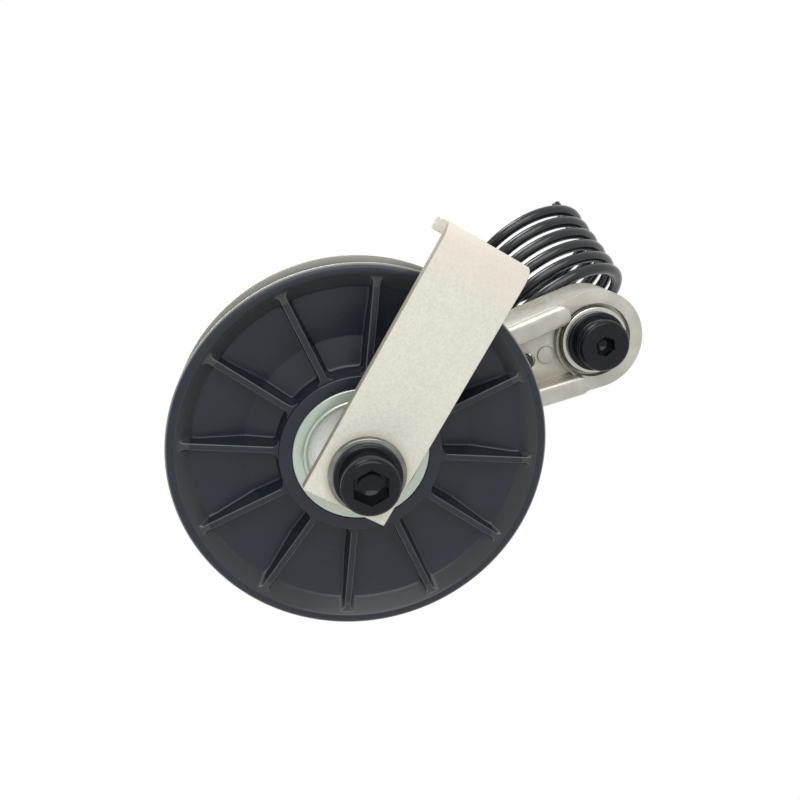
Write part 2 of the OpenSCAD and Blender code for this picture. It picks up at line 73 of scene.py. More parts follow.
def only(piece):
    """Leave one object selected and active."""
    if bpy.context.mode != "OBJECT":
        bpy.ops.object.mode_set(mode="OBJECT")
    bpy.ops.object.select_all(action="DESELECT")
    piece.select_set(True)
    bpy.context.view_layer.objects.active = piece


def edit_all(piece):
    """Open one object for editing with everything in it selected."""
    only(piece)
    bpy.ops.object.mode_set(mode="EDIT")
    bpy.ops.mesh.select_all(action="SELECT")


def settle(piece, smooth_to=35):
    """Close the edit: doubles merged, faces outwards, soft shading across shallow edges."""
    edit_all(piece)
    bpy.ops.mesh.remove_doubles(threshold=weld)
    bpy.ops.mesh.normals_make_consistent(inside=False)
    bpy.ops.object.mode_set(mode="OBJECT")
    bpy.ops.object.shade_smooth_by_angle(angle=math.radians(smooth_to))
    return piece


def softened(outline, closed=True, steps=3):
    """An outline of (radius, y, ease) corners with each corner rounded by its own ease."""
    side_share = 0.48
    points = [Vector(p[:2]) for p in outline]
    count = len(points)
    soft = []
    for i, corner in enumerate(points):
        ease = outline[i][2]
        if ease == 0 or (not closed and i in (0, count - 1)):
            soft.append(corner)
            continue
        back = points[i - 1] - corner
        ahead = points[(i + 1) % count] - corner
        start = corner + back.normalized() * min(ease, side_share * back.length)
        end = corner + ahead.normalized() * min(ease, side_share * ahead.length)
        for k in range(steps + 1):
            t = k / steps
            soft.append((1 - t) ** 2 * start + 2 * t * (1 - t) * corner + t ** 2 * end)
    return soft


def turned(name, outline, axis, front, closed=True, steps=144):
    """A piece spun round an axis along Y from (radius, depth) points in mm, the depth from its front."""
    mesh = bpy.data.meshes.new(name)
    points = [(axis[0] + p[0] * mm, front + p[1] * mm, axis[1]) for p in outline]
    count = len(points)
    edges = [(i, (i + 1) % count) for i in range(count if closed else count - 1)]
    mesh.from_pydata(points, edges, [])
    piece = bpy.data.objects.new(name, mesh)
    bpy.context.collection.objects.link(piece)
    edit_all(piece)
    bpy.ops.mesh.spin(steps=steps, angle=2 * math.pi, center=(axis[0], 0, axis[1]), axis=(0, 1, 0))
    return settle(piece)


def fitted(piece, name, body, finish):
    """Put a finished piece in the place of a CAD node, and give both the same finish."""
    for mesh in (piece.data, frame["nodes"][name].data):
        mesh.materials.clear()
        mesh.materials.append(finish)
    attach(piece, body)
    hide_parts(name)


def front_of(name):
    """The front end of a CAD node along Y."""
    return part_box(name)[0].y


def node(tree, kind, inputs=None, **settings):
    """A new shader node with its settings and its unlinked inputs filled in."""
    made = tree.nodes.new("ShaderNode" + kind)
    for name, value in settings.items():
        setattr(made, name, value)
    for name, value in (inputs or {}).items():
        made.inputs[name].default_value = value
    return made


def new_finish(name, colour, **sockets):
    """A material with its even colour and its even sockets set on the shader itself."""
    material = bpy.data.materials.new(name)
    material.use_nodes = True
    shader = material.node_tree.nodes["Principled BSDF"]
    shader.inputs["Base Color"].default_value = (*colour, 1)
    for socket, value in sockets.items():
        title = {"specular": "Specular IOR Level"}.get(socket, socket.replace("_", " ").title())
        shader.inputs[title].default_value = value
    return material, material.node_tree, shader


def noise(tree, spots_per_m, detail=4.0):
    """Noise on a piece's own coordinates; the value comes out of its Fac socket."""
    place = node(tree, "TexCoord")
    made = node(tree, "TexNoise", {"Scale": spots_per_m, "Detail": detail})
    tree.links.new(place.outputs["Object"], made.inputs["Vector"])
    return made.outputs["Fac"]


def place_round(tree, axis):
    """The distance from an axis along Y and the place along it, on a piece's own coordinates."""
    place = node(tree, "TexCoord")
    lay = node(tree, "Mapping", {"Location": (-axis[0], 0, -axis[1])})
    parts = node(tree, "SeparateXYZ")
    flat = node(tree, "CombineXYZ")
    length = node(tree, "VectorMath", operation="LENGTH")
    tree.links.new(place.outputs["Object"], lay.inputs["Vector"])
    tree.links.new(lay.outputs["Vector"], parts.inputs["Vector"])
    tree.links.new(parts.outputs["X"], flat.inputs["X"])
    tree.links.new(parts.outputs["Z"], flat.inputs["Y"])
    tree.links.new(flat.outputs["Vector"], length.inputs[0])
    return length.outputs["Value"], parts.outputs["Y"]


def lathe_lines(tree, axis, lines_per_m):
    """Fine rings round an axis along Y, with their strength broken up."""
    made = node(tree, "TexNoise", {"Scale": lines_per_m, "Detail": 2.0}, noise_dimensions="1D")
    tree.links.new(place_round(tree, axis)[0], made.inputs["W"])
    return made.outputs["Fac"]


def tint(tree, shader, value, dark, light):
    """Colour between two tones by a noise value, which lies mostly between 0.35 and 0.65."""
    ramp = node(tree, "ValToRGB")
    low, high = ramp.color_ramp.elements
    low.position = 0.35
    high.position = 0.65
    low.color = (*dark, 1)
    high.color = (*light, 1)
    tree.links.new(value, ramp.inputs["Fac"])
    tree.links.new(ramp.outputs["Color"], shader.inputs["Base Color"])


def gloss(tree, shader, value, smooth, rough):
    """Roughness between two limits by a noise value, which lies mostly between 0.3 and 0.7."""
    spread = node(tree, "MapRange", {"From Min": 0.3, "From Max": 0.7, "To Min": smooth, "To Max": rough})
    tree.links.new(value, spread.inputs["Value"])
    tree.links.new(spread.outputs["Result"], shader.inputs["Roughness"])


ground_steel, tree, shader = new_finish("ground_steel", (0.62, 0.63, 0.65), metallic=1.0, roughness=0.3)
gloss(tree, shader, lathe_lines(tree, pivot_axis, 6000), 0.2, 0.42)
tint(tree, shader, noise(tree, 60), (0.5, 0.51, 0.52), (0.68, 0.69, 0.71))
sleeve_section = [
    (bore_r, 0, 0.3), (sleeve_r, 0, 0.5), (sleeve_r, collar_front, 0.1), (collar_r, collar_front, 0.4),
    (collar_r, collar_back, 0.4), (sleeve_tail_r, collar_back, 0.3), (sleeve_tail_r, sleeve_len, 0.5),
    (bore_r, sleeve_len, 0.3),
]
sleeve = turned("sleeve_turned", softened(sleeve_section), pivot_axis, front_of("pivot_sleeve"))
fitted(sleeve, "pivot_sleeve", "pivot", ground_steel)

# Pivot bushes: two flanged plain bushes of sintered bronze, pressed into the arm from both sides.
# They are spun from their section; the surface is dull and slightly open from the sintering.
bush_in_r, bush_out_r, bush_len = 8.05, 9.05, 7.0
bush_flange_r, bush_flange_t = 12.0, 1.0


def relief(tree, shader, value, depth):
    """Surface grain of a given depth in metres, on top of any that is there already."""
    bump = node(tree, "Bump", {"Distance": depth, "Strength": 1.0})
    tree.links.new(value, bump.inputs["Height"])
    if shader.inputs["Normal"].is_linked:
        tree.links.new(shader.inputs["Normal"].links[0].from_socket, bump.inputs["Normal"])
    tree.links.new(bump.outputs["Normal"], shader.inputs["Normal"])


def flipped(section, length):
    """A section turned end for end."""
    return [(r, length - y, ease) for r, y, ease in section]


bronze, tree, shader = new_finish("sintered_bronze", (0.3, 0.22, 0.115), metallic=1.0, roughness=0.5)
pores = noise(tree, 2600, 6)
tint(tree, shader, pores, (0.2, 0.15, 0.08), (0.36, 0.27, 0.145))
gloss(tree, shader, pores, 0.4, 0.65)
relief(tree, shader, pores, 0.03 * mm)
bush_section = [
    (bush_in_r, 0, 0.25), (bush_flange_r, 0, 0.3), (bush_flange_r, bush_flange_t, 0.2),
    (bush_out_r, bush_flange_t, 0.1), (bush_out_r, bush_len, 0.4), (bush_in_r, bush_len, 0.25),
]
for name, section in (("front_bush", bush_section), ("rear_bush", flipped(bush_section, bush_len))):
    bush = turned(name + "_turned", softened(section), pivot_axis, front_of(name))
    fitted(bush, name, "arm", bronze)

# Tensioner arm: an aluminium casting, tumbled after casting, with the seats machined.
# Its skin is warm grey with fine grain, and its edges are rounded by the mould and the tumbling.
arm_rise = math.radians(18.5)
arm_front, arm_back = (corner.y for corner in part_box("tensioner_arm"))
web_mid = arm_front + 9.5 * mm
pad_at, pad_r = 17.6 * mm, 3.0 * mm
pad_axis = (-pad_at * math.cos(arm_rise), -pad_at * math.sin(arm_rise))
recess_r = 13.3 * mm
recess_floor = arm_front + 6.6 * mm


def applied(piece, kind, **settings):
    """Add a modifier with its settings and apply it."""
    only(piece)
    modifier = piece.modifiers.new(kind.lower(), kind)
    for name, value in settings.items():
        setattr(modifier, name, value)
    bpy.ops.object.modifier_apply(modifier=modifier.name)
    return piece


def eased(name, width, merge=0.02):
    """A copy of a CAD node's mesh with its sharp edges rounded; width and merge are in mm."""
    piece = bpy.data.objects.new(name + "_eased", frame["nodes"][name].data.copy())
    bpy.context.collection.objects.link(piece)
    edit_all(piece)
    bpy.ops.mesh.remove_doubles(threshold=merge * mm)
    bpy.ops.mesh.dissolve_limited(angle_limit=math.radians(1))
    bpy.ops.object.mode_set(mode="OBJECT")
    sharp = math.radians(30)
    applied(piece, "BEVEL", width=width * mm, segments=3, limit_method="ANGLE", angle_limit=sharp)
    return settle(piece)


def overlay(tree, shader, value, tone):
    """A second tone over the base colour, as strong as a value."""
    mix = node(tree, "MixRGB", {"Color2": (*tone, 1)})
    tree.links.new(value, mix.inputs["Fac"])
    tree.links.new(shader.inputs["Base Color"].links[0].from_socket, mix.inputs["Color1"])
    tree.links.new(mix.outputs["Color"], shader.inputs["Base Color"])


def rising(tree, value, low, high, top=1.0):
    """0 to top as a value goes from low to high, or down to high where high is the lesser."""
    made = node(tree, "MapRange", {"From Min": low, "From Max": high, "To Max": top})
    tree.links.new(value, made.inputs["Value"])
    return made.outputs["Result"]


def joined(tree, operation, first, second):
    """Two values, or a value and a number, put together by one operation."""
    made = node(tree, "Math", operation=operation)
    tree.links.new(first, made.inputs[0])
    if isinstance(second, float):
        made.inputs[1].default_value = second
    else:
        tree.links.new(second, made.inputs[1])
    return made.outputs["Value"]


def both(tree, first, second):
    """Strong only where two values are."""
    return joined(tree, "MULTIPLY", first, second)


def between(tree, value, rise, fall, top=1.0):
    """0 to top over one stretch of a value, and back to 0 over another, given from its far end."""
    return both(tree, rising(tree, value, *rise, top), rising(tree, value, *fall))


cast, tree, shader = new_finish("cast_aluminium", (0.46, 0.44, 0.385), metallic=0.6, roughness=0.45)
skin = noise(tree, 900, 8)
tint(tree, shader, noise(tree, 160, 8), (0.42, 0.4, 0.345), (0.5, 0.48, 0.42))
gloss(tree, shader, skin, 0.34, 0.52)
relief(tree, shader, skin, 0.08 * mm)
from_pad, along = place_round(tree, pad_axis)
# Painted shade: a dark ring round the raised pad on the front of the web, for the thin shadow at its edge.
pad_shade_ring = between(
    tree, from_pad, (pad_r - 0.1 * mm, pad_r + 0.1 * mm), (pad_r + 0.5 * mm, pad_r + 0.3 * mm), 0.6)
on_front = rising(tree, along, web_mid + 0.5 * mm, web_mid - 0.5 * mm)
overlay(tree, shader, both(tree, pad_shade_ring, on_front), (0.2, 0.19, 0.165))
# Painted highlight: a light band along the rounded front edges of the ribs and their noses.
crest_highlight = between(
    tree, along, (arm_front + 0.03 * mm, arm_front + 0.2 * mm),
    (arm_front + 1.4 * mm, arm_front + 0.7 * mm), 0.6)
overlay(tree, shader, crest_highlight, (0.72, 0.7, 0.64))
# Painted shade: a dark ring at the recess rim on the pad's side, for the shadowed gap round the washer.
from_pivot = place_round(tree, pivot_axis)[0]
recess_shade = rising(tree, from_pivot, recess_r + 0.75 * mm, recess_r + 0.55 * mm, 0.75)
in_recess = rising(tree, along, recess_floor + 0.4 * mm, recess_floor - 0.1 * mm)
by_pad = rising(tree, from_pad, 15 * mm, 12 * mm)
overlay(tree, shader, both(tree, recess_shade, both(tree, in_recess, by_pad)), (0.11, 0.105, 0.085))
arm = eased("tensioner_arm", 0.7, merge=0.3)
fitted(arm, "tensioner_arm", "arm", cast)

# Torsion spring: one length of round spring wire, cold coiled and painted gloss black.
# Its front leg hooks forward into the hole in the arm, and its rear leg points back along the coil.
wire_d = 4.4 * mm
wire_end_ease = 0.35 * mm
coil_r = 25.9 * mm
coil_pitch = 6.16 * mm
coil_lean = math.radians(46.8)
coil_lean_turn = math.radians(116.5)
coil_start, coil_mid_at, coil_end = -158, -90, 1786
coil_set_back = coil_r * math.sin(coil_lean) + wire_d / 2
coil_mid = Vector((0.7 * mm, arm_back + coil_set_back, 2.2 * mm))
coil_axis = Vector((
    math.sin(coil_lean) * math.cos(coil_lean_turn),
    math.cos(coil_lean),
    math.sin(coil_lean) * math.sin(coil_lean_turn),
))
coil_u = (Vector((1, 0, 0)) - coil_axis.x * coil_axis).normalized()
coil_v = coil_axis.cross(coil_u)
leg_hole_at = 24.5 * mm
leg_shift = 0.55 * mm
hook_handle = 4.5 * mm
tail_bend = 4.0 * mm
tail_len = 13.4 * mm
points_per_turn = 48
leg_steps, hook_steps, bend_steps, tail_steps = 10, 20, 12, 8


def coil_point(degrees):
    """The middle of the wire at an angle along the coil."""
    a = math.radians(degrees)
    around = coil_r * (math.cos(a) * coil_u + math.sin(a) * coil_v)
    return coil_mid + coil_pitch * (degrees - coil_mid_at) / 360 * coil_axis + around


def bend(p, q, r, s, steps):
    """Points along a curve from p to s that leaves towards q and arrives from r, without its last point."""
    curve_points = []
    for k in range(steps):
        t = k / steps
        u = 1 - t
        curve_points.append(u ** 3 * p + 3 * t * u ** 2 * q + 3 * t * t * u * r + t ** 3 * s)
    return curve_points


leg_x = -leg_hole_at * math.cos(arm_rise) - leg_shift * math.cos(math.pi / 4)
leg_z = -leg_hole_at * math.sin(arm_rise) + leg_shift * math.sin(math.pi / 4)
leg_tip = Vector((leg_x, front_of("torsion_spring"), leg_z))
leg_end = Vector((leg_x, arm_back + coil_set_back / 2, leg_z))
coil_first = coil_point(coil_start)
first_dir = (coil_first - coil_point(coil_start + 1)).normalized()
coil_last = coil_point(coil_end)
last_dir = (coil_last - coil_point(coil_end - 1)).normalized()
tail_start = coil_last + tail_bend * (last_dir + coil_axis)
tail_handle = 0.55 * tail_bend
route = [leg_tip.lerp(leg_end, k / leg_steps) for k in range(leg_steps)]
route += bend(
    leg_end, leg_end + Vector((0, hook_handle, 0)), coil_first + hook_handle * first_dir, coil_first,
    hook_steps)
coil_steps = round((coil_end - coil_start) * points_per_turn / 360)
route += [coil_point(coil_start + k * (coil_end - coil_start) / coil_steps) for k in range(coil_steps)]
route += bend(
    coil_last, coil_last + tail_handle * last_dir, tail_start - tail_handle * coil_axis, tail_start,
    bend_steps)
route += [tail_start + tail_len * k / tail_steps * coil_axis for k in range(tail_steps + 1)]

curve = bpy.data.curves.new("spring_wire", "CURVE")
curve.dimensions = "3D"
curve.bevel_depth = wire_d / 2
curve.bevel_resolution = 6
curve.use_fill_caps = True
line = curve.splines.new("POLY")
line.points.add(len(route) - 1)
for point, place in zip(line.points, route):
    point.co = (*place, 1)
spring = bpy.data.objects.new("spring_wire", curve)
bpy.context.collection.objects.link(spring)
only(spring)
bpy.ops.object.convert(target="MESH")
spring = bpy.context.view_layer.objects.active
edit_all(spring)
bpy.ops.mesh.remove_doubles(threshold=weld)
bpy.ops.object.mode_set(mode="OBJECT")
applied(
    spring, "BEVEL", width=wire_end_ease, segments=2, limit_method="ANGLE", angle_limit=math.radians(60))
settle(spring, 40)
spring_black, tree, shader = new_finish(
    "spring_black", (0.012, 0.014, 0.017), roughness=0.17, specular=0.43)
tint(tree, shader, noise(tree, 260, 3), (0.01, 0.0125, 0.016), (0.0145, 0.0155, 0.017))
gloss(tree, shader, noise(tree, 700, 3), 0.13, 0.21)
relief(tree, shader, noise(tree, 900, 2), 0.004 * mm)
fitted(spring, "torsion_spring", "arm", spring_black)

# Pivot fasteners: a plated flat washer, a split lock washer and a low socket-head bolt, all spun from
# their sections. The bolt and the lock washer are oiled black oxide.
# The bolt's free end carries its thread.
washer_r, washer_t = 12.0, 2.2
lock_r, lock_t = 10.55, 2.5
split_turn, split_slant, split_w = math.radians(-60), math.radians(35), 0.9
bolt_r, tip_chamfer = 6.0, 1.0
head_r, head_h, head_chamfer = 9.0, 7.5, 0.8
thread_pitch, thread_depth, thread_stop = 1.75, 0.95, 1.2
thread_run_in, thread_run_out = 2.0, 1.5
flank_slope = 1.25
rows_per_pitch = 8
key_depth, key_mouth = 4.2, 0.3
drill_from, drill_to = 3.5, 4.6
drill_share, drill_point = 0.39, 0.55
zinc, tree, shader = new_finish("clear_zinc", (0.5, 0.505, 0.45), metallic=0.9, roughness=0.28)
tint(tree, shader, noise(tree, 120, 4), (0.47, 0.48, 0.42), (0.54, 0.54, 0.485))
gloss(tree, shader, noise(tree, 700, 4), 0.2, 0.3)
black_oxide, tree, shader = new_finish(
    "oiled_black_oxide", (0.005, 0.0065, 0.0095), roughness=0.14, specular=0.22)
film = noise(tree, 420, 5)
tint(tree, shader, film, (0.0045, 0.0055, 0.008), (0.0065, 0.0075, 0.011))
gloss(tree, shader, film, 0.1, 0.18)
relief(tree, shader, noise(tree, 2400, 3), 0.01 * mm)


def cut_out(piece, cutter):
    """Take one shape out of another and drop the cutter."""
    applied(piece, "BOOLEAN", operation="DIFFERENCE", solver="EXACT", object=cutter)
    bpy.data.objects.remove(cutter, do_unlink=True)
    return settle(piece)


def flat_washer(name, axis):
    """A stamped washer, rounder at its front edge than at its back."""
    section = [(bore_r, 0, 0.25), (washer_r, 0, 0.4), (washer_r, washer_t, 0.2), (bore_r, washer_t, 0.15)]
    return turned(name + "_turned", softened(section), axis, front_of(name))


def lock_washer(name, axis):
    """A spring washer with a slanting split, pressed flat."""
    section = [(bore_r, 0, 0.3), (lock_r, 0, 0.6), (lock_r, lock_t, 0.6), (bore_r, lock_t, 0.3)]
    piece = turned(name + "_turned", softened(section), axis, front_of(name))
    middle = Vector((axis[0], front_of(name) + lock_t / 2 * mm, axis[1]))
    out = Vector((math.cos(split_turn), 0, math.sin(split_turn)))
    ring_mid_r, cutter_side = 8.4 * mm, 8 * mm
    bpy.ops.object.select_all(action="DESELECT")
    bpy.ops.mesh.primitive_cube_add(
        size=1, location=middle + out * ring_mid_r, rotation=(split_slant, -split_turn, 0),
        scale=(cutter_side, cutter_side, split_w * mm))
    cutter = bpy.context.object
    bpy.ops.object.transform_apply()
    return cut_out(piece, cutter)


def socket_bolt(name, axis, length, key, turn, thread_from):
    """A low-headed bolt with a hexagon socket, its mouth chamfered, and a thread from a length to its end."""
    front = front_of(name)
    tip = head_h + length
    row_gap = thread_pitch / rows_per_pitch
    rows = int((length - thread_stop - thread_from) / row_gap)
    section = [
        (0, 0, 0), (head_r - head_chamfer, 0, 0.3), (head_r, head_chamfer, 0.5), (head_r, head_h, 0.25),
        (bolt_r, head_h, 0.15), *((bolt_r, head_h + thread_from + k * row_gap, 0) for k in range(rows)),
        (bolt_r, tip - tip_chamfer, 0.2), (bolt_r - tip_chamfer, tip, 0.2), (0, tip, 0),
    ]
    piece = turned(name + "_turned", softened(section, closed=False), axis, front, closed=False)
    for vertex in piece.data.vertices:
        away = Vector((vertex.co.x - axis[0], 0, vertex.co.z - axis[1]))
        depth = (vertex.co.y - front) / mm - head_h - thread_from
        if depth <= 0 or abs(away.length - bolt_r * mm) > 0.02 * mm:
            continue
        phase = depth / thread_pitch - math.atan2(away.z, away.x) / (2 * math.pi)
        flank = min(1.0, flank_slope * abs(2 * (phase % 1) - 1))
        fade = min(1.0, depth / thread_run_in, (length - thread_from - depth) / thread_run_out)
        vertex.co -= away.normalized() * thread_depth * max(fade, 0) * flank * mm
    corner_r, over = key / math.sqrt(3), 0.4
    cutter = turned(name + "_key", [
        (0, -over), (corner_r + key_mouth + over, -over), (corner_r, key_mouth), (corner_r, key_depth),
        (0, key_depth),
    ], (0, 0), 0, closed=False, steps=6)
    cutter.rotation_euler = (0, turn, 0)
    cutter.location = (axis[0], front, axis[1])
    only(cutter)
    bpy.ops.object.transform_apply()
    cut_out(piece, cutter)
    drill_r = drill_share * key
    drill = turned(name + "_drill", [
        (0, drill_from), (drill_r, drill_from), (drill_r, drill_to), (0, drill_to + drill_point * drill_r),
    ], axis, front, closed=False, steps=48)
    return cut_out(piece, drill)


fitted(flat_washer("pivot_washer", pivot_axis), "pivot_washer", "pivot", zinc)
pivot_lock = lock_washer("pivot_lock_washer", pivot_axis)
fitted(pivot_lock, "pivot_lock_washer", "pivot", black_oxide)
pivot_bolt = socket_bolt(
    "pivot_bolt", pivot_axis, length=55, key=6, turn=math.radians(20), thread_from=36)
fitted(pivot_bolt, "pivot_bolt", "pivot", black_oxide)

# Ball bearing: two hardened rings, balls in a brass cage and two pressed shields.
# The shields are spun from their stepped section; only the front one shows, deep in the hub.
pulley_joint = next(j for j in frame["joints"] if j["name"] == "pulley_spin")
pulley_x, pulley_mid, pulley_z = pulley_joint["pos_m"]
pulley_axis = (pulley_x, pulley_z)
shield_in, shield_out, shield_t = 10.4, 15.79, 0.8


def dress(name, finish):
    """Give a CAD node that stays its finish."""
    mesh = frame["nodes"][name].data
    mesh.materials.clear()
    mesh.materials.append(finish)


bright_steel, tree, shader = new_finish("bright_steel", (0.88, 0.88, 0.87), metallic=0.15, roughness=0.35)
rings = lathe_lines(tree, pulley_axis, 3000)
gloss(tree, shader, rings, 0.3, 0.45)
tint(tree, shader, rings, (0.86, 0.86, 0.85), (0.9, 0.9, 0.89))
cage_brass, tree, shader = new_finish("cage_brass", (0.6, 0.45, 0.2), metallic=1.0, roughness=0.35)
tint(tree, shader, noise(tree, 300), (0.5, 0.37, 0.15), (0.66, 0.5, 0.23))
for name in ("bearing_outer_ring", "bearing_inner_ring", "bearing_balls"):
    dress(name, bright_steel)
dress("bearing_cage", cage_brass)
shield_section = [
    (shield_in, 0.45, 0.1), (10.9, 0.05, 0.25), (14.7, 0, 0.25), (15.1, 0.3, 0.2), (shield_out, 0.3, 0.15),
    (shield_out, shield_t, 0.1), (shield_in, shield_t, 0.1),
]
for side, section in (("front", shield_section), ("rear", flipped(shield_section, shield_t))):
    name = "bearing_" + side + "_shield"
    shield = turned(side + "_shield_pressed", softened(section), pulley_axis, front_of(name))
    fitted(shield, name, "pulley", bright_steel)

# Pulley: one glass-filled plastic moulding with twelve ribs on each face.
# One sector is a grid shaped to the section with its rib, repeated round the axis and mirrored to the back.
half_w = 10.3
tread_r, tread_h = 57.5, 7.2
flange_r, flange_h, flange_chamfer = 61.5, 8.0, 0.5
crown_r, lip_in = 60.1, 58.6
floor_out, floor_out_h, wall_slope = 54.0, 5.4, 0.94
floor_mid, floor_mid_h = 37.5, 1.2
floor_in, floor_in_h = 27.3, 2.2
hub_r, wall_in = 26.5, 27.0
cover_seat_r, cover_seat_h = 22.26, 8.8
bearing_seat_r = 18.51
rib_count = 12
rib_turn = math.radians(24.3)
rib_crest = half_w - 1.2
rib_half_t, rib_flat = 1.1, 0.5
rib_from, rib_to = 28.0, 57.0
crest_ease, root_ease, least_ease = 0.35, 0.6, 0.15
draft_share, least_draft = 0.07, 0.15
root_w, root_run_out = 0.4, 0.4
root_arc = ((0.08, 0.62), (0.29, 0.29), (0.62, 0.08))
hub_fillet, rim_fillet = 1.9, 1.5
fine_row, wide_row = 0.6, 2.5
half_section = softened([
    (tread_r, 0, 0), (tread_r, tread_h, 0.7), (flange_r, flange_h, 0.8),
    (flange_r, half_w - flange_chamfer, 0.4), (crown_r, half_w, 0.7), (lip_in, half_w, 0.4),
    (floor_out, floor_out_h, 0.5), (floor_mid, floor_mid_h, 0.3), (floor_in, floor_in_h, 1.0),
    (hub_r, half_w, 0.6), (cover_seat_r, half_w, 0.25), (cover_seat_r, cover_seat_h, 0.1),
    (bearing_seat_r, cover_seat_h, 0.3), (bearing_seat_r, 0, 0),
], closed=False, steps=4)
rows = [half_section[0]]
for end in half_section[1:]:
    start = rows[-1]
    near_wall = hub_r < end.x < hub_r + 5.5 or floor_out - 4 < end.x < floor_out + 5
    splits = max(1, math.ceil((end - start).length / (fine_row if near_wall else wide_row)))
    rows += [start.lerp(end, k / splits) for k in range(1, splits + 1)]
face_row = next(i for i, row in enumerate(rows) if row.y > half_w - 0.001)


def round_in(gap, radius):
    """How far a rounded inside corner stands out from one wall at a gap from the other."""
    short = radius - min(max(gap, 0), radius)
    return radius - math.sqrt(radius * radius - short * short)


def rib_section(r, base):
    """Points (offset, height) across half a rib at one radius, from the middle of its crest to the floor."""
    rise = max(rib_crest - base, 0)
    ease, root = min(crest_ease, 0.4 * rise), min(root_ease, 0.4 * rise)
    wide_ease, wide_root = max(ease, least_ease), max(root, root_w)
    draft = max(draft_share * rise, least_draft)
    top = base + rise
    foot = rib_half_t + draft
    points = [
        (rib_flat, top), (rib_half_t - wide_ease, top), (rib_half_t - 0.3 * wide_ease, top - 0.3 * ease),
        (rib_half_t, top - ease), (rib_half_t + draft / 2, (top - ease + base + root) / 2),
        (foot, base + root), *((foot + out * wide_root, base + up * root) for out, up in root_arc),
        (foot + wide_root, base), (foot + wide_root + root_run_out, base),
    ]
    spread = []
    for offset, height in points:
        wall_out = floor_out + wall_slope * (height - floor_out_h)
        flare = round_in(r - wall_in, hub_fillet) + round_in(wall_out - r, rim_fillet)
        spread.append((offset + flare * min(1, offset / rib_half_t), height))
    return spread


half_sector = math.pi / rib_count
floor_steps = 4
side_columns = len(rib_section(floor_mid, floor_mid_h)) + floor_steps
columns = 2 * side_columns
bpy.ops.object.select_all(action="DESELECT")
bpy.ops.mesh.primitive_grid_add(x_subdivisions=columns, y_subdivisions=len(rows) - 1, size=1)
pulley = bpy.context.object
pulley.name = "pulley_moulding"
for vertex in pulley.data.vertices:
    column = round((vertex.co.x + 0.5) * columns) - side_columns
    row = round((vertex.co.y + 0.5) * (len(rows) - 1))
    r, base = rows[row]
    section = rib_section(r, base)
    if column == 0:
        turn, height = 0.0, max(rib_crest, base)
    elif abs(column) <= len(section):
        offset, height = section[abs(column) - 1]
        turn = math.asin(offset / r)
    else:
        last = math.asin(section[-1][0] / r)
        turn = last + (half_sector - last) * (abs(column) - len(section)) / floor_steps
        height = base
    in_pocket = row > face_row and r > hub_r
    height = height if in_pocket else base
    angle = rib_turn + math.copysign(turn, column)
    vertex.co = Vector((r * math.cos(angle), -height, r * math.sin(angle))) * mm
edit_all(pulley)
last_turn = 2 * math.pi * (rib_count - 1) / rib_count
bpy.ops.mesh.spin(steps=rib_count - 1, dupli=True, angle=last_turn, center=(0, 0, 0), axis=(0, 1, 0))
bpy.ops.object.mode_set(mode="OBJECT")
applied(pulley, "MIRROR", use_axis=(False, True, False), merge_threshold=weld)
edit_all(pulley)
bpy.ops.mesh.remove_doubles(threshold=2 * weld)
bpy.ops.transform.translate(value=(pulley_x, pulley_mid, pulley_z))
settle(pulley, 50)


def off_middle(tree, value, middle):
    """How far a value lies from a middle, to either side."""
    return joined(tree, "ABSOLUTE", joined(tree, "SUBTRACT", value, middle), 0.0)


moulded, tree, shader = new_finish("moulded_black", (0.012, 0.016, 0.024), roughness=0.42, specular=0.36)
skin = noise(tree, 1800, 6)
tint(tree, shader, noise(tree, 90, 6), (0.0105, 0.0145, 0.0225), (0.0135, 0.018, 0.0265))
gloss(tree, shader, skin, 0.26, 0.38)
relief(tree, shader, skin, 0.015 * mm)
from_axis, along = place_round(tree, pulley_axis)
from_mid = off_middle(tree, along, pulley_mid)
# Painted sheen and highlight: the flanges' belt-track faces and their outer edges lighter, for the light they
# catch from above.
on_flange = rising(tree, from_axis, tread_r * mm, (flange_r - 1.1) * mm)
track_sheen = both(tree, rising(tree, from_mid, (flange_h + 1) * mm, (flange_h + 0.2) * mm), on_flange)
rim_highlight = rising(tree, from_axis, (flange_r - 0.7) * mm, (flange_r - 0.2) * mm)
overlay(tree, shader, joined(tree, "MAXIMUM", track_sheen, rim_highlight), (0.22, 0.22, 0.19))
# Painted light: the sloping rim wall lighter all round, for the light it catches from above.
lit_wall = between(
    tree, from_axis, (floor_out * mm, (floor_out + 0.4) * mm),
    ((lip_in + 0.1) * mm, (lip_in - 0.2) * mm), 0.8)
above_floor = rising(tree, from_mid, (floor_out_h - 0.4) * mm, floor_out_h * mm)
overlay(tree, shader, both(tree, lit_wall, above_floor), (0.041, 0.043, 0.043))
# Painted highlight: a light line along the edges of the rib crests.
rib_crest_highlight = between(
    tree, from_mid, ((rib_crest - 0.4) * mm, (rib_crest - 0.25) * mm),
    ((rib_crest - 0.01) * mm, (rib_crest - 0.1) * mm))
along_rib = between(
    tree, from_axis, (rib_from * mm, (rib_from + 0.5) * mm), ((rib_to + 0.2) * mm, (rib_to - 0.2) * mm))
overlay(tree, shader, both(tree, rib_crest_highlight, along_rib), (0.1, 0.1, 0.095))
fitted(pulley, "pulley", "pulley", moulded)

